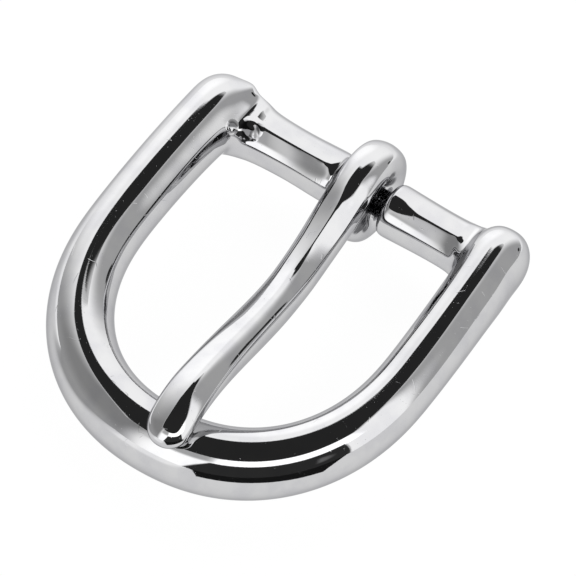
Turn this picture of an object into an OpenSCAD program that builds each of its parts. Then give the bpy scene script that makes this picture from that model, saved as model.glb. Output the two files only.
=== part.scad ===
// Heel bar buckle: a cast horseshoe frame with its bar across the heel, and a loose tongue hung on the bar.
// The rounded front rail points along -Y and the bar lies along X. The part rests on z = 0 with its front
// rail and the eye of the tongue touching, as a bare buckle does when it is put down.

/* [Frame] */
// Clear width between the legs at the bar, which is the width of the strap
strap_w = 25; // [20:0.5:32]
// From the middle of the bar to the middle of the front rail
reach = 34.5; // [31:0.1:40]
// How far the legs bow out past their ends, on each side
bow = 0.7; // [0:0.05:1.5]
// Width of the front rail, seen from above
rail_w = 6.9; // [6:0.1:8]
// Width of a leg at its slimmest
leg_w = 5.9; // [5:0.1:7]
// Width of a leg where it ends in a dome over the bar
end_w = 6.2; // [5.8:0.1:7.5]
// Height of the casting for each millimetre of its width
tallness = 1.1; // [0.95:0.01:1.2]

/* [Bar] */
// Diameter of the bar half way between the tongue and a leg
bar_d = 5.2; // [4.4:0.1:5.4]
// Diameter of the shoulders on both sides of the neck
shoulder_d = 5.4; // [4.8:0.1:5.8]
// Diameter of the thin neck on which the tongue turns
neck_d = 2.8; // [2.2:0.1:3.2]
// Length of the neck between its shoulders
neck_l = 5.4; // [5:0.1:6.4]
// How far the middle of the neck lies to the right of the buckle's middle
neck_side = 0.9; // [0.2:0.1:1.1]
// How far the bar lies under the middle of the frame's height
bar_drop = 1.8; // [1:0.1:2]

/* [Tongue] */
// Diameter of the eye, over its outside
eye_d = 10.3; // [9.4:0.1:10.6]
// Width of the eye along the bar
eye_w = 4.2; // [3.6:0.1:4.4]
// How far the eye sits to the right of the buckle's middle
eye_side = 0.6; // [0.6:0.1:1.1]
// Play between the neck and the eye, on the radius
play = 0.1; // [0.05:0.01:0.1]
// How far the tip lies to the right of the eye
tip_side = 1.4; // [0:0.1:1.5]
// Gap between the resting tongue and the top of the front rail
tip_gap = 0.15; // [0.1:0.05:0.4]

/* [Hidden] */

// The plan of the frame: half an oval at the front, then two legs that draw in a little towards the bar
plan_x = strap_w / 2 + end_w / 2 + bow;
plan_y = 0.53 * reach;
plan_power = 2.16;
leg_l = reach - plan_y;

// Each leg sinks and deepens towards its end, to carry the bar, and closes in a dome
end_dip = 0.55;
end_deep = 0.5;
cap_l = 1.08 * end_w / 2;

// Steps of the sweeps
sides = 32;
oval_steps = 22;
leg_steps = 6;
cap_steps = 6;
row_steps = 5;

// The bar and the webs that blend it into the legs are turned about X
leg_x = strap_w / 2 + end_w / 2;
shoulder_round = 0.9;
round_steps = 6;
flare_l = 3;
flare_h = 0.2;
bar_end_l = 1.4;
web_rise = 0.75;
web_sunk = 0.05;
web_grow = 1.25;
web_l = 3.2;
web_steps = 8;
web_power = 2.2;

// The eye is an oval ring about the neck, thicker on its upper and rear sides
eye_rise = 0.25;
eye_back = 0.2;
eye_hole = 1.35;
eye_thick = (eye_d / 2 - eye_hole) / 2;
eye_ring = eye_d / 2 - eye_thick;
eye_sides = 40;
bore_d = neck_d + 2 * play;

// The part leans forward until its front rail touches what its eye rests on
eye_low = eye_d / 2 - eye_rise + bar_drop;
rail_low = tallness * rail_w / 2;
lean = asin((eye_low - rail_low) / (reach + eye_back));
rest_z = eye_d / 2 - eye_rise * cos(lean) - eye_back * sin(lean);
front_y = -reach * cos(lean) - bar_drop * sin(lean) - rail_w / 2;
back_y = eye_d / 2 + eye_back * cos(lean) - eye_rise * sin(lean);
middle_y = (front_y + back_y) / 2;

// Sections of the tongue from its eye to its tip. The way ahead of the bar is a share of the reach, and the
// height over the bar's axis is a share of the tongue's height where it crosses the front rail:
// [way ahead, height, half width, half thickness]
AHEAD = 0;
UP = 1;
HALF_W = 2;
HALF_T = 3;
tongue_rows = [
    [-0.040, 0.37, 1.55, 1.35],
    [ 0.020, 0.46, 2.05, 1.90],
    [ 0.096, 0.45, 2.15, 2.00],
    [ 0.180, 0.36, 2.10, 2.00],
    [ 0.258, 0.32, 2.00, 1.95],
    [ 0.420, 0.33, 2.00, 1.90],
    [ 0.615, 0.63, 2.10, 1.85],
    [ 0.806, 0.93, 2.15, 1.75],
    [ 0.945, 1.04, 2.30, 1.60],
    [ 1.020, 0.96, 2.30, 1.35]
];
crossing_t = 1.6;
crossing_up = bar_drop + tallness * rail_w / 2 + tip_gap + crossing_t;

function oval(a, power) = sign(a) * pow(abs(a), 2 / power);
function unit(v) = v / norm(v);
function place(s) = [s[0], s[1], s[2]];
function backwards(list) = [for (i = [len(list) - 1 : -1 : 0]) list[i]];

// Places on the frame's centreline, seen from above
function on_oval(turn) = [
    plan_x * oval(sin(turn), plan_power),
    -reach + plan_y - plan_y * oval(cos(turn), plan_power)
];
function on_leg(side, share) = [
    side * (plan_x - bow * share * share),
    -reach + plan_y + leg_l * share
];

oval_turns = [for (i = [-oval_steps : oval_steps]) 90 * i / oval_steps];
leg_shares = [for (i = [1 : leg_steps]) i / leg_steps];

// Stations of the sweep from the left leg's end round the front to the right leg's end:
// [x, y, z, half width, half height]
function oval_station(turn) =
    let (w = leg_w + (rail_w - leg_w) * cos(turn), xy = on_oval(turn))
    [xy[0], xy[1], bar_drop, w / 2, tallness * w / 2];
function leg_station(side, share) =
    let (grown = share * share,
         w = leg_w + (end_w - leg_w) * grown,
         xy = on_leg(side, share))
    [xy[0], xy[1], bar_drop - (end_dip + end_deep / 2) * grown, w / 2, tallness * w / 2 + end_deep / 2 * grown];

frame_stations = concat(
    [for (share = backwards(leg_shares)) leg_station(-1, share)],
    [for (turn = oval_turns) oval_station(turn)],
    [for (share = leg_shares) leg_station(1, share)]
);

// A dome past a station, as smaller and smaller stations along the heading
function dome(s, heading, length) = [
    for (i = [1 : cap_steps])
        let (turn = 90 * i / (cap_steps + 0.4))
        [s[0] + heading[0] * length * sin(turn),
         s[1] + heading[1] * length * sin(turn),
         s[2] + heading[2] * length * sin(turn),
         s[3] * cos(turn), s[4] * cos(turn)]
];

// One closed skin over a list of stations, with a section across the way at each and a point at both ends
module skin(stations, start, end) {
    count = len(stations);
    points = concat(
        [start],
        [for (i = [0 : count - 1])
            let (before = place(stations[max(i - 1, 0)]),
                 after = place(stations[min(i + 1, count - 1)]),
                 way = unit(after - before),
                 across = unit(cross(way, [0, 0, 1])),
                 up = cross(across, way))
            for (k = [0 : sides - 1])
                place(stations[i])
                    + across * stations[i][3] * cos(360 * k / sides)
                    + up * stations[i][4] * sin(360 * k / sides)],
        [end]
    );
    last = len(points) - 1;
    faces = concat(
        [for (k = [0 : sides - 1]) [0, 1 + (k + 1) % sides, 1 + k]],
        [for (i = [0 : count - 2])
            for (k = [0 : sides - 1])
                let (a = 1 + i * sides + k, b = 1 + i * sides + (k + 1) % sides)
                each [[a, b, a + sides], [b, b + sides, a + sides]]],
        [for (k = [0 : sides - 1])
            [last, last - sides + k, last - sides + (k + 1) % sides]]
    );
    polyhedron(points = points, faces = faces, convexity = 6);
}

module horseshoe() {
    first = frame_stations[0];
    last = frame_stations[len(frame_stations) - 1];
    heading = unit(place(last) - place(frame_stations[len(frame_stations) - 2]));
    mirrored = [-heading[0], heading[1], heading[2]];
    skin(
        concat(
            backwards(dome(first, mirrored, cap_l)),
            frame_stations,
            dome(last, heading, cap_l)
        ),
        place(first) + mirrored * cap_l,
        place(last) + heading * cap_l
    );
}

// Turns a profile of [distance along the bar, radius] about the bar, to the right or to the left
module turned(side, profile) {
    rotate([0, side * 90, 0])
        rotate_extrude($fn = 96)
            polygon([for (p = profile) [p[1], p[0]]]);
}

// Half of the bar, from the middle of the neck to the middle of a leg
module bar_half(side) {
    wall = neck_l / 2;
    length = leg_x - side * neck_side;
    flare_start = length - end_w / 2 - flare_l;
    slim = (wall + flare_start) / 2;
    translate([neck_side, 0, 0])
        turned(side, concat(
            [[0, 0], [0, neck_d / 2], [wall, neck_d / 2]],
            [for (i = [0 : round_steps])
                let (turn = 90 * i / round_steps)
                [wall + shoulder_round * (1 - cos(turn)),
                 shoulder_d / 2 - shoulder_round * (1 - sin(turn))]],
            [[slim, bar_d / 2]],
            [for (i = [0 : round_steps])
                let (share = i / round_steps)
                [flare_start + (flare_l + end_w / 2) * share, bar_d / 2 + flare_h * share * share]],
            [for (i = [1 : round_steps])
                let (turn = 90 * i / round_steps)
                [length + bar_end_l * sin(turn), (bar_d / 2 + flare_h) * cos(turn)]]
        ));
}

// The web rises from the top of the bar to the dome of a leg
module web(side) {
    thin = bar_d / 2 - web_rise - web_sunk;
    start = leg_x - end_w / 2 - web_l / 2;
    translate([0, 0, web_rise])
        turned(side, concat(
            [[start, 0]],
            [for (i = [0 : web_steps])
                let (share = i / web_steps)
                [start + web_l * share, thin + web_grow * pow(share, web_power)]],
            [[start + 1.25 * web_l, thin], [start + 1.25 * web_l, 0]]
        ));
}

module frame_flat() {
    union() {
        horseshoe();
        for (side = [-1, 1]) {
            bar_half(side);
            web(side);
        }
    }
}

// A smooth way between the tongue's rows
function curve(a, b, c, d, t) =
    0.5 * (2 * b + (c - a) * t + (2 * a - 5 * b + 4 * c - d) * t * t + (3 * b - a - 3 * c + d) * t * t * t);
function tongue_row(i) = tongue_rows[min(max(i, 0), len(tongue_rows) - 1)];
function tongue_at(i, t) = curve(tongue_row(i - 1), tongue_row(i), tongue_row(i + 1), tongue_row(i + 2), t);
function tongue_station(row) = [
    eye_side + tip_side * max(row[AHEAD], 0), -reach * row[AHEAD], crossing_up * row[UP], row[HALF_W], row[HALF_T]
];
tongue_stations = concat(
    [for (i = [0 : len(tongue_rows) - 2])
        for (j = [0 : row_steps - 1])
            tongue_station(tongue_at(i, j / row_steps))],
    [tongue_station(tongue_rows[len(tongue_rows) - 1])]
);

module shank() {
    count = len(tongue_stations);
    tip = tongue_stations[count - 1];
    heading = unit(place(tip) - place(tongue_stations[count - 2]));
    skin(
        concat(tongue_stations, dome(tip, heading, tip[3])),
        place(tongue_stations[0]),
        place(tip) + heading * tip[3]
    );
}

module eye() {
    translate([eye_side, eye_back, eye_rise])
        rotate([0, 90, 0])
            rotate_extrude($fn = 96)
                polygon([for (i = [0 : eye_sides - 1])
                    let (turn = 360 * i / eye_sides)
                    [eye_ring + eye_thick * cos(turn), eye_w / 2 * sin(turn)]]);
}

module tongue_flat() {
    difference() {
        union() {
            eye();
            shank();
        }
        translate([eye_side, 0, 0])
            rotate([0, 90, 0])
                cylinder(d = bore_d, h = 2 * eye_w, center = true, $fn = 96);
    }
}

// Puts a flat-built piece down on its front rail and its eye, with the middle of the part over the origin
module rested() {
    translate([0, -middle_y, rest_z])
        rotate([lean, 0, 0])
            children();
}

module frame() {
    color("silver") rested() frame_flat();
}

module tongue() {
    color("gainsboro") rested() tongue_flat();
}

frame();
tongue();
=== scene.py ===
# Heel bar buckle: a polished cast frame and its loose tongue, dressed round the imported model
import math

import bmesh
import bpy
from mathutils import Matrix, Vector


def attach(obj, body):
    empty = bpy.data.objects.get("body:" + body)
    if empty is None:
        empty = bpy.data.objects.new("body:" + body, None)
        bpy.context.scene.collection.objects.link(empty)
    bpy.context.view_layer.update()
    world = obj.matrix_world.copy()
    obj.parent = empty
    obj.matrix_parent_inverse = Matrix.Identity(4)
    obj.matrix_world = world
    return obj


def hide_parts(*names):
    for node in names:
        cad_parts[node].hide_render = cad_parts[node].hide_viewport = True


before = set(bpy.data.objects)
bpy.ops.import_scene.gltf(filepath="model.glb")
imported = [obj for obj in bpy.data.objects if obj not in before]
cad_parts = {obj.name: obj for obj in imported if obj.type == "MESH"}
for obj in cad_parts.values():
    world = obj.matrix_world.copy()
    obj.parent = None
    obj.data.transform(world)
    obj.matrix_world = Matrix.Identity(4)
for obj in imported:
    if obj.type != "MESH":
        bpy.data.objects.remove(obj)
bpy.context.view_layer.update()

scene = bpy.context.scene
mm = 0.001
print("frame loaded", sorted(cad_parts))

# The buckle is modelled flat, in millimetres round the middle of its bar, and then laid down as it rests
rest = {
    "lean": 4.802,  # degrees, nose down
    "forward": 16.326,  # from the bar to the middle of the part
    "up": 4.884,  # of the bar's axis over the table
}
leanTurn = Matrix.Rotation(math.radians(rest["lean"]), 4, "X")
laidDown = Matrix.Scale(mm, 4) @ Matrix.Translation((0, rest["forward"], rest["up"])) @ leanTurn


# Camera
shot = {
    "azimuth": 33.6,  # round the flat buckle
    "elevation": 58.0,
    "pixelsPerMm": 10.6,
    "pixels": 576,
    "aimRight": 2.5575,  # from the part's origin to the middle of the picture, mm
    "aimUp": 4.4557,
    "away": 260,
    "clip": (0.01, 10),  # m
}


def makeCamera(s):
    a, e = math.radians(s["azimuth"]), math.radians(s["elevation"])
    right = leanTurn @ Vector((math.cos(a), math.sin(a), 0))
    up = leanTurn @ Vector((-math.sin(a) * math.sin(e), math.cos(a) * math.sin(e), math.cos(e)))
    back = leanTurn @ Vector((math.sin(a) * math.cos(e), -math.cos(a) * math.cos(e), math.sin(e)))
    data = bpy.data.cameras.new("photoCamera")
    data.type = "ORTHO"
    data.ortho_scale = s["pixels"] / s["pixelsPerMm"] * mm
    data.clip_start, data.clip_end = s["clip"]
    camera = bpy.data.objects.new("photoCamera", data)
    turned = Matrix((right, up, back)).transposed().to_4x4()
    spot = right * s["aimRight"] + up * s["aimUp"] + back * s["away"]
    camera.matrix_world = Matrix.Translation(spot * mm) @ turned
    scene.collection.objects.link(camera)
    scene.camera = camera


makeCamera(shot)
scene.view_settings.view_transform = "Standard"
print("camera set")


# Shared ways of making nodes and objects
def addNode(tree, kind, inputs=(), **sets):
    # inputs are [socket, a value or the output that feeds it]
    made = tree.nodes.new("ShaderNode" + kind)
    for key, value in sets.items():
        setattr(made, key, value)
    for key, value in inputs:
        if isinstance(value, bpy.types.NodeSocket):
            tree.links.new(value, made.inputs[key])
        else:
            made.inputs[key].default_value = value
    return made


def softStep(tree, value, low, high, toLow=0, toHigh=1):
    sets = [("Value", value), ("From Min", low), ("From Max", high), ("To Min", toLow), ("To Max", toHigh)]
    return addNode(tree, "MapRange", sets, interpolation_type="SMOOTHSTEP").outputs[0]


def combine(tree, how, a, b):
    return b if a is None else addNode(tree, "Math", [(0, a), (1, b)], operation=how).outputs[0]


def newObject(bm, name):
    data = bpy.data.meshes.new(name)
    bm.to_mesh(data)
    bm.free()
    made = bpy.data.objects.new(name, data)
    scene.collection.objects.link(made)
    return made


# Studio: a pale lit table under a light tent with a dark opening over it
def heading(azimuth, fromTop):
    a, t = math.radians(azimuth), math.radians(fromTop)
    return Vector((math.cos(a) * math.sin(t), math.sin(a) * math.sin(t), math.cos(t)))


def cosine(angle):
    return math.cos(math.radians(angle))


def panelled(tree, where, tone, panels):
    # panels lie over one another, each with edges of [towards, where it starts, where it is full] along a heading
    for bright, edges in panels:
        mask = None
        for towards, start, full in edges:
            along = addNode(tree, "VectorMath", [(0, where), (1, towards)], operation="DOT_PRODUCT")
            mask = combine(tree, "MULTIPLY", mask, softStep(tree, along.outputs["Value"], start, full))
        tone = addNode(tree, "Mix", [("Factor", mask), ("A", tone), ("B", bright)]).outputs["Result"]
    return tone


def plainToCamera(tree, tone, seen):
    ray = addNode(tree, "LightPath").outputs["Is Camera Ray"]
    return addNode(tree, "Mix", [("Factor", ray), ("A", tone), ("B", seen)]).outputs["Result"]


def mattePaint(name, tone, rough):
    paint = bpy.data.materials.new(name)
    paint.use_nodes = True
    skin = paint.node_tree.nodes["Principled BSDF"]
    skin.inputs["Base Color"].default_value = (tone, tone, tone, 1)
    skin.inputs["Roughness"].default_value = rough
    skin.inputs["Specular IOR Level"].default_value = 0
    return paint, skin


# Each panel of the tent: its brightness, and edges of [heading, angle where it starts, angle where it is full]
tent = {
    "wall": 1.77,
    "panels": [
        {"tone": 2.1, "edges": [(heading(138, 78), 31, 12)]},  # lamp behind on the left
        {"tone": 0.66, "edges": [(heading(-4, 90), 93, 66), (heading(113.5, 99), 96, 88)]},  # grey, on the right
        {"tone": 0.03, "edges": [(heading(52.5, 83), 5.5, 3.5)]},  # dark clip on it
        {"tone": 0.42, "edges": [(heading(250, 90), 106, 62), (heading(158, 90), 100, 84)]},  # grey, on the left
        {"tone": 0.60, "edges": [(heading(250, 90), 106, 62), (heading(158, 90), 100, 84),
                                 (heading(0, 180), 118, 84)]},  # paler near the table
        {"tone": 2.1, "edges": [(heading(-22, 90), 97, 79), (heading(-100, 90), 91, 87)]},  # lamp in front
        {"tone": 0.75, "edges": [(heading(-22, 90), 94, 84), (heading(-164, 90), 91, 84),
                                 (heading(0, 0), 58, 50)]},  # its dim upper corner
        {"tone": 2.6, "edges": [(heading(13, 90), 91, 86), (heading(-86, 90), 91, 86),
                                (heading(0, 0), 60, 57)]},  # lamp beside the camera
        {"tone": 0.045, "edges": [(heading(1.6, 105.2), 91, 89), (heading(-97.2, 90), 91, 89.5),
                                  (heading(0, 180), 124.5, 122.5)]},  # dark room behind the camera
        {"tone": 0.22, "edges": [(heading(-22, 74), 9, 2), (heading(66, 95), 91, 88)]},  # a pale thing in it
        {"tone": 1.0, "edges": [(heading(0, 0), 40, 39), (heading(17, 90), 122.4, 121.4),
                                (heading(-136, 90), 121.8, 120.8), (heading(-54, 90), 121.2, 120.2)]},  # pale rim
        {"tone": 0.035, "edges": [(heading(0, 0), 38.8, 37.4), (heading(17, 90), 121.2, 120.2),
                                  (heading(-136, 90), 119.9, 118.9), (heading(-90, 90), 117.6, 115.6)]},  # opening
        {"tone": 0.035, "edges": [(heading(0, 0), 39.6, 38.2), (heading(-54, 90), 119.6, 118.6),
                                  (heading(-136, 90), 119.9, 118.9), (heading(-90, 90), 128, 120),
                                  (heading(17, 90), 121.2, 120.2)]},  # its far side
    ],
    "seen": 1.25,  # what the camera sees past the table
}


def tentWorld(t):
    world = bpy.data.worlds.new("lightTent")
    scene.world = world
    world.use_nodes = True
    tree = world.node_tree
    tree.nodes.clear()
    look = addNode(tree, "TexCoord").outputs["Generated"]
    panels = [(p["tone"], [(towards, cosine(start), cosine(full)) for towards, start, full in p["edges"]])
              for p in t["panels"]]
    tone = plainToCamera(tree, panelled(tree, look, t["wall"], panels), t["seen"])
    sky = addNode(tree, "Background", [("Strength", tone)])
    addNode(tree, "OutputWorld", [("Surface", sky.outputs[0])])


table = {
    "half": 0.6,
    "glow": 0.95,
    # painted shade in the table's glow: a painted shadow of the buckle, darker near it and seen only in the metal.
    # Where its tone changes: how many times as bright it gets, and edges of [towards, from, to] in metres
    "paintedShadeTones": [
        (1.36, [(heading(130, 90), 0.018, 0.045)]),
        (0.42, [(heading(286, 90), 0.002, 0.016), (heading(152, 90), -0.004, 0.01),
                (heading(219, 90), 0.026, 0.042)]),
        (1.3, [(heading(335, 90), 0, 0.007), (heading(185, 90), -0.001, 0.006),
               (heading(260, 90), 0.036, 0.05)]),
    ],
    "paint": 0.1,
    "rough": 0.9,
}


def litTable(t):
    bm = bmesh.new()
    bmesh.ops.create_grid(bm, x_segments=2, y_segments=2, size=t["half"])
    floor = newObject(bm, "litTable")
    paint, skin = mattePaint("paleAcrylic", t["paint"], t["rough"])
    tree = paint.node_tree
    place = addNode(tree, "TexCoord").outputs["Object"]
    # The glow carries a painted shadow of the buckle, seen in the metal but not by the camera
    paintedShadeTones = [(t["glow"] * share, edges) for share, edges in t["paintedShadeTones"]]
    glow = plainToCamera(tree, panelled(tree, place, t["glow"], paintedShadeTones), t["glow"])
    tree.links.new(glow, skin.inputs["Emission Strength"])
    skin.inputs["Emission Color"].default_value = (1, 1, 1, 1)
    floor.data.materials.append(paint)


# The table's white sheet ends close in front of the buckle, and the dark floor past it shows in the metal
floorDrop = {
    "middle": (6, -14),  # mm
    "turns": (-84, -8.5),  # degrees
    "reach": (22, 850),  # mm
    "lift": 0.2,  # mm
    "steps": 28,
    "paint": 0.02,
}


def darkFloor(d):
    start, end = d["turns"]
    bm = bmesh.new()
    a, b = (bm.verts.new((reach * mm, 0, d["lift"] * mm)) for reach in d["reach"])
    edge = bm.edges.new((a, b))
    bmesh.ops.rotate(bm, verts=bm.verts, matrix=Matrix.Rotation(math.radians(start), 3, "Z"))
    bmesh.ops.spin(bm, geom=[a, b, edge], axis=(0, 0, 1), angle=math.radians(end - start), steps=d["steps"])
    bmesh.ops.translate(bm, verts=bm.verts, vec=(d["middle"][0] * mm, d["middle"][1] * mm, 0))
    ground = newObject(bm, "darkFloor")
    ground.visible_camera = False  # it only shows in the metal
    ground.visible_diffuse = False
    ground.visible_shadow = False
    paint, _ = mattePaint("darkCloth", d["paint"], 1)
    ground.data.materials.append(paint)


tentWorld(tent)
litTable(table)
darkFloor(floorDrop)
print("studio lit")


# Shared ways of shaping: a cage of rings that subdivision smooths
ringSides = 16
ringStep = 360 / ringSides
sameTurn = 0.1  # radians, well under a ring's step
cageGrow = 1.026  # a smoothed 16-sided ring comes out this much smaller


def ringPlace(spot, way, side, halfSide, halfUp, twist=0):
    way = way.normalized()
    side = (side - way * side.dot(way)).normalized()
    up = side.cross(way)
    m = Matrix((side * halfSide, up * halfUp, way)).transposed().to_4x4()
    m.translation = spot
    return m @ Matrix.Rotation(math.radians(twist), 4, "Z")


def sweep(bm, places, section=None, crisp=None):
    # section(ring, turn) is how far out a ring stands there, and crisp(ring, turn) how sharp the edge along it is
    sharp = bm.edges.layers.float.get("crease_edge") or bm.edges.layers.float.new("crease_edge")
    circle = bmesh.ops.create_circle(bm, segments=ringSides, radius=cageGrow, matrix=places[0])
    verts = circle["verts"]
    rings = [verts]
    first = edges = list({e for v in verts for e in v.link_edges})
    for before, after in zip(places, places[1:]):
        grown = bmesh.ops.extrude_edge_only(bm, edges=edges)["geom"]
        verts = [g for g in grown if isinstance(g, bmesh.types.BMVert)]
        rings.append(verts)
        fresh = set(verts)
        edges = [g for g in grown if isinstance(g, bmesh.types.BMEdge) and fresh.issuperset(g.verts)]
        bmesh.ops.transform(bm, matrix=after @ before.inverted(), verts=verts)
    if section:
        for i, (place, ring) in enumerate(zip(places, rings)):
            for v in ring:
                flat = place.inverted() @ v.co
                turn = math.atan2(flat.y, flat.x)
                v.co = place @ (flat * section(i, turn))
                for edge in v.link_edges:
                    if i and edge.other_vert(v) in rings[i - 1]:
                        edge[sharp] = crisp(i, turn)
    return first, edges


def nudge(bm, spot, reach, move):
    for v in bm.verts:
        near = max(0, 1 - (v.co - Vector(spot)).length / reach)
        v.co += Vector(move) * near * near * (3 - 2 * near)


def turnRound(up, aside):
    return math.degrees(math.atan2(up, aside)) % 360


def openPatch(bm, inside):
    faces = [f for f in bm.faces if inside(f.calc_center_median())]
    rim = [e for e in {e for f in faces for e in f.edges} if sum(f in faces for f in e.link_faces) == 1]
    bmesh.ops.delete(bm, geom=faces, context="FACES")
    print("patch of", len(faces), "faces, rim of", len(rim))
    return rim


def closeEnd(bm, edges):
    bmesh.ops.contextual_create(bm, geom=edges)


def joinLoops(bm, loops):
    bmesh.ops.bridge_loops(bm, edges=loops[0] + loops[1])


def piece(bm, name, levels=3):
    bmesh.ops.recalc_face_normals(bm, faces=bm.faces)
    bmesh.ops.transform(bm, matrix=laidDown, verts=bm.verts)
    for f in bm.faces:
        f.smooth = True
    made = newObject(bm, name)
    smooth = made.modifiers.new("smooth", "SUBSURF")
    smooth.levels = smooth.render_levels = levels
    return made


# Frame
cast = {
    "strap": 25,  # clear width between the legs
    "reach": 34.5,
    "bow": 0.7,
    "railWide": 6.9,
    "legWide": 5.9,
    "endWide": 6.2,
    "tall": 1.1,
    "rise": 1.8,  # of the rail's middle over the bar
    "sink": 0.8,  # of the legs at the bar
    "deepen": 0.5,
    "ovalPower": 2.16,
    "ovalShare": 0.53,
    "ovalSteps": 12,
    "legShares": [0.2, 0.4, 0.6, 0.75, 0.84, 0.92, 1],
    "domeTurns": [22.5, 45, 65, 80],
    "domeLong": 0.54,  # share of the end's width
    "twist": 20,  # turns the rings until four faces lie on the bar
    # the faces that open for the bar: [from, to] along the leg, and their turn and half spread round it, degrees
    "patchLong": (-2.7, 2.4),
    "patchTurn": (200, 45),
}
bar = {
    "neckMiddle": 0.78,
    "ends": 11.75,
    # [distance from the middle of the neck, radius, how clear its flats are]
    "neck": [(1.0, 1.4, 0), (2.2, 1.4, 0), (2.52, 1.5, 0), (2.6, 1.8, 0), (2.66, 2.25, 0), (2.82, 2.56, 0)],
    "leftShaft": [(3.2, 2.69, 0.4), (4.0, 2.68, 0.9), (5.2, 2.63, 1), (6.8, 2.56, 0.9), (8.2, 2.55, 0.75)],
    "rightShaft": [(3.2, 2.73, 0), (4.2, 2.69, 0.1), (5.6, 2.65, 0.4), (7.0, 2.61, 0.6)],
    # [distance back from the end, radius, how clear its flats are]
    "leftEnd": [(2.7, 2.59, 0.7), (1.5, 2.66, 0.7), (0.6, 2.76, 0.6), (0, 2.88, 0.4)],
    "rightEnd": [(2.6, 2.59, 0.8), (1.3, 2.6, 0.9), (0.4, 2.65, 0.9), (0, 2.72, 0.8)],
    "flats": 8,  # that the casting keeps round the bar
    "flatAt": 12.5,  # degrees from the top towards the front
    "flatDeep": 0.045,
}
# small moves of the cast corners: [where, how far it reaches, move]
castNudges = [
    ((-13.1, 2.3, 2.7), 2.6, (0.35, 0.75, 0.6)),  # the web behind the left corner
    ((-15.6, 2.2, 4.0), 4.0, (0, -0.05, -0.28)),  # the left dome is a little lower
    ((15.9, 2.4, 2.4), 4.0, (0.28, 0.14, -0.04)),  # the right one a little fuller
    ((13.6, 2.6, 3.2), 2.4, (-0.1, 0.25, 0.2)),
    ((18.9, -1.2, 1.4), 3.6, (-0.28, 0, 0)),  # and the leg under it straighter
    ((19.2, -6.5, 2.0), 5.5, (-0.12, 0, 0)),
    ((-12.8, -3.2, 1.5), 2.2, (0.3, -0.1, 0)),  # casting left in the left inner corner
]


def bent(value, power):
    return math.copysign(abs(value) ** (2 / power), value)


def makeFrame(c, b):
    planX = c["strap"] / 2 + c["endWide"] / 2 + c["bow"]
    planY = c["ovalShare"] * c["reach"]
    legLong = c["reach"] - planY
    oval, legs = [], []
    for step in range(-c["ovalSteps"], c["ovalSteps"] + 1):
        turn = math.pi / 2 * step / c["ovalSteps"]
        wide = c["legWide"] + (c["railWide"] - c["legWide"]) * math.cos(turn)
        spot = Vector((planX * bent(math.sin(turn), c["ovalPower"]),
                       -c["reach"] + planY - planY * bent(math.cos(turn), c["ovalPower"]), c["rise"]))
        oval.append((spot, wide / 2, c["tall"] * wide / 2))
    for share in c["legShares"]:
        grown = share * share
        wide = c["legWide"] + (c["endWide"] - c["legWide"]) * grown
        spot = Vector((planX - c["bow"] * grown, -c["reach"] + planY + legLong * share,
                       c["rise"] - c["sink"] * grown))
        legs.append((spot, wide / 2, c["tall"] * wide / 2 + c["deepen"] / 2 * grown))
    tip, wide, tall = legs[-1]
    way = (tip - legs[-2][0]).normalized()
    long = c["domeLong"] * c["endWide"]
    for turn in c["domeTurns"]:
        t = math.radians(turn)
        legs.append((tip + way * long * math.sin(t), wide * math.cos(t), tall * math.cos(t)))
    flip = Matrix.Scale(-1, 4, (1, 0, 0))
    stations = [(flip @ s, w, h) for s, w, h in reversed(legs)] + oval + legs
    places = []
    for i, (spot, halfWide, halfTall) in enumerate(stations):
        ahead = stations[min(i + 1, len(stations) - 1)][0] - stations[max(i - 1, 0)][0]
        side = ahead.cross(Vector((0, 0, 1)))
        places.append(ringPlace(spot, ahead, side, halfWide, halfTall, c["twist"]))
    bm = bmesh.new()
    for end in sweep(bm, places):
        closeEnd(bm, end)

    low, high = c["patchLong"]
    middle, spread = c["patchTurn"]

    def onBar(p, side):
        turn = turnRound((p.z - tip.z) / tall, (side * p.x - tip.x) / wide)
        return side * p.x > 0 and low < p.y < high and abs(turn - middle) < spread
    rims = [openPatch(bm, lambda p, side=side: onBar(p, side)) for side in (-1, 1)]

    def half(side, shaft, end):
        out = [(b["neckMiddle"] + side * d, r, flat) for d, r, flat in b["neck"] + shaft]
        return out + [(side * (b["ends"] - d), r, flat) for d, r, flat in end]

    rings = half(-1, b["leftShaft"], b["leftEnd"])[::-1] + half(1, b["rightShaft"], b["rightEnd"])
    along, fore = Vector((1, 0, 0)), Vector((0, -1, 0))

    def section(i, turn):
        return 1 + b["flatDeep"] * rings[i][2] * math.cos(b["flats"] * turn)

    def crisp(i, turn):
        return rings[i][2] if abs(turn) < sameTurn else 0
    ends = sweep(bm, [ringPlace(Vector((x, 0, 0)), along, fore, r, r, 90 - b["flatAt"]) for x, r, _ in rings],
                 section, crisp)
    for rim, end in zip(rims, ends):
        joinLoops(bm, (rim, end))
    for spot, reach, move in castNudges:
        nudge(bm, spot, reach, move)
    return piece(bm, "castFrame")


castFrame = makeFrame(cast, bar)
print("frame shaped", len(castFrame.data.vertices), "cage points")


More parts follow.
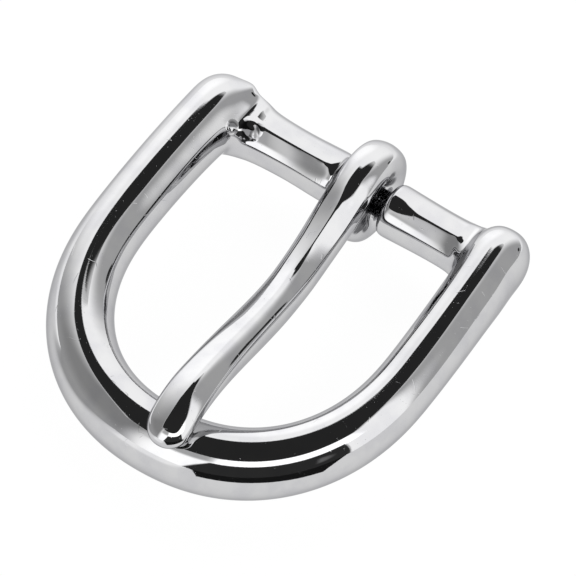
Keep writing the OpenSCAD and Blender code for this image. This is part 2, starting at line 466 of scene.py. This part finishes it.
# Tongue
prong = {
    "side": 0.6,
    "tipSide": 1.4,
    # from the tip back to the eye: [y, z, half width, half thickness, share of the ridged and of the soft section]
    "shank": [
        (-35.3, 7.1, 2.3, 1.5, 0.2, 0.2), (-33.7, 7.52, 2.3, 1.58, 0.4, 0.3), (-31.6, 7.66, 2.29, 1.63, 0.6, 0.3),
        (-29.6, 7.4, 2.22, 1.7, 0.6, 0.4), (-27.0, 6.7, 2.14, 1.78, 0.2, 0.8), (-23.6, 5.45, 2.09, 1.84, 0, 1),
        (-20.2, 4.08, 2.04, 1.87, 0, 1), (-16.8, 2.9, 1.98, 1.9, 0, 1), (-14.2, 2.34, 1.96, 1.92, 0.1, 0.7),
        (-12.2, 2.22, 1.98, 1.93, 0.3, 0.6), (-10.4, 2.3, 1.98, 1.94, 0.7, 0.3), (-8.2, 2.45, 2.0, 1.96, 1, 0),
        (-6.2, 2.72, 2.08, 1.99, 1, 0), (-4.95, 3.0, 2.11, 2.0, 0.95, 0), (-4.0, 3.2, 2.12, 2.0, 0.75, 0),
        (-3.1, 3.36, 2.14, 1.98, 0.4, 0), (-2.2, 3.43, 2.14, 1.95, 0.1, 0), (-1.3, 3.47, 2.13, 1.93, 0, 0),
    ],
    # sections by their turn from the right side over the top, in steps of 22.5 degrees
    "ridged": [0.83, 0.85, 0.80, 0.83, 1.04, 0.875, 0.88, 1.04, 1.2, 1.17, 1.15, 1.05, 0.98, 1.03, 1.05, 0.9],
    "soft": [0.85, 0.88, 0.9, 0.93, 1.0, 0.92, 0.97, 1.14, 1.1, 1.13, 1.12, 1.04, 0.97, 1.02, 1.05, 0.92],
    "boxed": [0.98, 1.01, 1.08, 1.0, 0.98, 1.0, 1.08, 1.01, 0.98, 1.01, 1.08, 1.0, 0.98, 1.0, 1.08, 1.01],
    "ridgeAside": 0.1,  # share of the half width
    "ridgeCrisp": 0.45,  # and how it grows with the ridged share
    "crispRise": (1.5, -0.5),
    "domeTurns": [80, 65, 45, 22.5],
    "domeLong": 2.3,
    # the eye: rings round the neck by their turn from the front over the top
    "eyeTurns": [90, 67.5, 45, 22.5, 0, -22.5, -45, -67.5, -90, -112.5, -135, -157.5, -177],
    "eyeOut": 5.2,
    "eyeMiddle": (0.28, 0.2),
    "hole": 1.56,
    "eyeHalfWide": 2.12,
    "eyeBox": 0.9,  # share of the boxed section round the eye
    # the underside that opens for the eye's end: [from, to] along the shank, least height, half spread in degrees
    "patchLong": (-4.96, -1.3),
    "patchLow": 0.6,
    "patchSpread": 45,
    "patchMiddle": 3.33,  # the shank's middle there, and its half thickness and half width
    "patchThick": 1.97,
    "patchWide": 2.14,
}


def makeTongue(p):
    def across(y):
        return p["side"] + p["tipSide"] * max(-y, 0) / cast["reach"]

    rows = []
    for y, z, wide, thick, ridged, soft in p["shank"]:
        aside = p["ridgeAside"] * wide * (ridged + soft)
        rows.append((Vector((across(y) + aside, y, z)), wide, thick, (ridged, soft, 0)))
    tip, wide, thick, _ = rows[0]
    way = (tip - rows[1][0]).normalized()
    dome = []
    for turn in p["domeTurns"]:
        t = math.radians(turn)
        dome.append((tip + way * p["domeLong"] * math.sin(t), wide * math.cos(t), thick * math.cos(t), (0, 0, 0)))
    rows = dome + rows
    middle = Vector((0, *p["eyeMiddle"]))
    for turn in p["eyeTurns"]:
        t = math.radians(turn)
        out = Vector((0, math.cos(t), math.sin(t)))
        lean = middle.dot(out)
        far = lean + math.sqrt(p["eyeOut"] ** 2 - middle.length_squared + lean * lean)
        spot = out * (far + p["hole"]) / 2
        spot.x = p["side"]
        rows.append((spot, p["eyeHalfWide"], (far - p["hole"]) / 2, (0, 0, p["eyeBox"])))
    places = []
    for i, (spot, halfWide, halfThick, _) in enumerate(rows):
        ahead = rows[min(i + 1, len(rows) - 1)][0] - rows[max(i - 1, 0)][0]
        places.append(ringPlace(spot, ahead, Vector((1, 0, 0)), halfWide, halfThick))
    bm = bmesh.new()

    def section(i, turn):
        step = round(math.degrees(turn) / ringStep) % ringSides
        return 1 + sum(share * (p[name][step] - 1) for name, share in zip(("ridged", "soft", "boxed"), rows[i][3]))

    def crisp(i, turn):
        rise, base = p["crispRise"]
        sharpness = p["ridgeCrisp"] * max(0, rise * rows[i][3][0] + base)
        return sharpness if abs(turn - math.pi / 2) < sameTurn else 0
    start, end = sweep(bm, places, section, crisp)
    closeEnd(bm, start)

    def under(q):
        turn = turnRound((q.z - p["patchMiddle"]) / p["patchThick"], (q.x - across(q.y)) / p["patchWide"])
        low, high = p["patchLong"]
        return low < q.y < high and q.z > p["patchLow"] and abs(turn - 270) < p["patchSpread"]
    joinLoops(bm, (openPatch(bm, under), end))
    return piece(bm, "castTongue")


castTongue = makeTongue(prong)
print("tongue shaped", len(castTongue.data.vertices), "cage points")


# Nickel plate
plate = {
    "bright": (0.60, 0.60, 0.605),
    "dull": (0.55, 0.55, 0.565),
    "edgeTint": (0.55, 0.55, 0.56),  # keeps the rims from flaring white
    "clouds": (420, 3),  # scale per metre and detail
    "cloudTint": (0.35, 0.7),  # where the duller tint starts and is full
    "cloudRough": (0.4, 0.75, 0.025, 0.06),  # and the same for the roughness, with its least and most
    "wave": (230, 1),
    "waveDeep": 0.000012,
    "polish": (1, 2, (700, 9000, 7000)),
    "polishDeep": 0.0000006,
    "pits": (5200, 1),
    "pitEdge": (0.75, 0.82),
    "pitDeep": 0.000003,
    "hairScale": 420,
    "hairWide": 0.012,
    "hairPatches": (900, 0),
    "hairEdge": (0.65, 0.71),
    "hairDeep": 0.000003,
    "scuff": (0.3, 0.7, 0.08, 0.16),  # how rough pits and hairlines are, by the polish
    # unpolished casting skin, with painted shade and painted dark reflections laid over it: its grain and depth,
    # where its painted dark parts start and are full, and
    # [middle in mm, reach, full]
    "castSkinAndShadePatches": [
        # the left inner corner: bumps of casting skin, darkened with painted dark reflections
        {"scale": (850, 850, 850), "deep": 0.00018, "dark": (0.4, 0.48),
         "spots": [((-11.4, 14.9, 7.3), 1.35, 0.7), ((-12.95, 13.9, 7.5), 0.8, 0.4)]},  # in the left corner
        # round the bar's neck by the tongue's eye: painted shade in the crease between the two parts
        {"scale": (2600, 900, 2600), "deep": 0.00008, "dark": (0.2, 0.38),
         "spots": [((2.5, 17.5, 7.5), 1.0, 0.6), ((2.4, 17.6, 6.0), 1.3, 0.9), ((2.4, 16.4, 5.8), 1.3, 0.9),
                   ((2.4, 15.3, 5.5), 1.4, 1.0), ((2.5, 14.1, 5.7), 1.3, 0.9), ((2.5, 13.1, 5.6), 1.2, 0.9),
                   ((2.6, 13.9, 4.5), 1.1, 0.8), ((2.5, 12.7, 5.2), 1.0, 0.7)]},  # round the neck
    ],
    # colour of the painted shade and painted dark reflections in these patches
    "paintedShadeDark": (0.13, 0.13, 0.135),
}


def nickelPlate(name, p):
    metal = bpy.data.materials.new(name)
    metal.use_nodes = True
    tree = metal.node_tree
    skin = tree.nodes["Principled BSDF"]
    place = addNode(tree, "TexCoord").outputs["Object"]
    bumped = None

    def noise(scale, detail, stretch=None):
        where = place
        if stretch:
            where = addNode(tree, "Mapping", [("Vector", place), ("Scale", stretch)]).outputs[0]
        return addNode(tree, "TexNoise", [("Vector", where), ("Scale", scale), ("Detail", detail)]).outputs["Fac"]

    def bump(height, deep):
        nonlocal bumped
        sets = [("Height", height), ("Distance", deep), ("Strength", 1)]
        if bumped is not None:
            sets.append(("Normal", bumped))
        bumped = addNode(tree, "Bump", sets).outputs[0]

    clouds = noise(*p["clouds"])
    polish = noise(*p["polish"])
    pits = softStep(tree, noise(*p["pits"]), *p["pitEdge"])
    cells = addNode(tree, "TexVoronoi", [("Vector", place), ("Scale", p["hairScale"])], feature="DISTANCE_TO_EDGE")
    hairs = combine(tree, "MULTIPLY", softStep(tree, cells.outputs["Distance"], 0, p["hairWide"], 1, 0),
                    softStep(tree, noise(*p["hairPatches"]), *p["hairEdge"]))
    bump(noise(*p["wave"]), p["waveDeep"])
    bump(polish, p["polishDeep"])
    bump(pits, p["pitDeep"])
    bump(hairs, p["hairDeep"])

    # Each patch bumps the casting skin and paints shade and dark reflections into the base colour
    dark = None
    for patch in p["castSkinAndShadePatches"]:
        skinAndShadeSpots = None
        for middle, reach, full in patch["spots"]:
            away = addNode(tree, "VectorMath", [(0, place), (1, Vector(middle) * mm)], operation="DISTANCE")
            skinAndShadeSpots = combine(tree, "MAXIMUM", skinAndShadeSpots, softStep(tree, away.outputs["Value"], full * mm, reach * mm, 1, 0))
        grainAndShadeNoise = noise(1, 1, patch["scale"])
        bump(combine(tree, "MULTIPLY", skinAndShadeSpots, grainAndShadeNoise), patch["deep"])
        darker = combine(tree, "MULTIPLY", skinAndShadeSpots, softStep(tree, grainAndShadeNoise, *patch["dark"]))
        dark = combine(tree, "ADD", dark, darker)
    tree.links.new(bumped, skin.inputs["Normal"])

    def blend(share, a, b):
        colours = [(0, share), (6, a if isinstance(a, bpy.types.NodeSocket) else (*a, 1)), (7, (*b, 1))]
        return addNode(tree, "Mix", colours, data_type="RGBA").outputs[2]

    tint = blend(softStep(tree, clouds, *p["cloudTint"]), p["bright"], p["dull"])
    # the painted shade darkens the base colour in the patches
    tree.links.new(blend(dark, tint, p["paintedShadeDark"]), skin.inputs["Base Color"])
    marks = combine(tree, "MULTIPLY", combine(tree, "ADD", pits, hairs), softStep(tree, polish, *p["scuff"]))
    rough = combine(tree, "ADD", softStep(tree, clouds, *p["cloudRough"]), marks)
    tree.links.new(rough, skin.inputs["Roughness"])
    skin.inputs["Metallic"].default_value = 1
    skin.inputs["Specular Tint"].default_value = (*p["edgeTint"], 1)
    return metal


nickel = nickelPlate("mirrorNickel", plate)
for made, body, slotName in ((castFrame, "frame", "frame_metal"), (castTongue, "tongue", "tongue_metal")):
    made.data.materials.append(nickel)
    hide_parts(body)
    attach(made, body)
print("metal laid on")
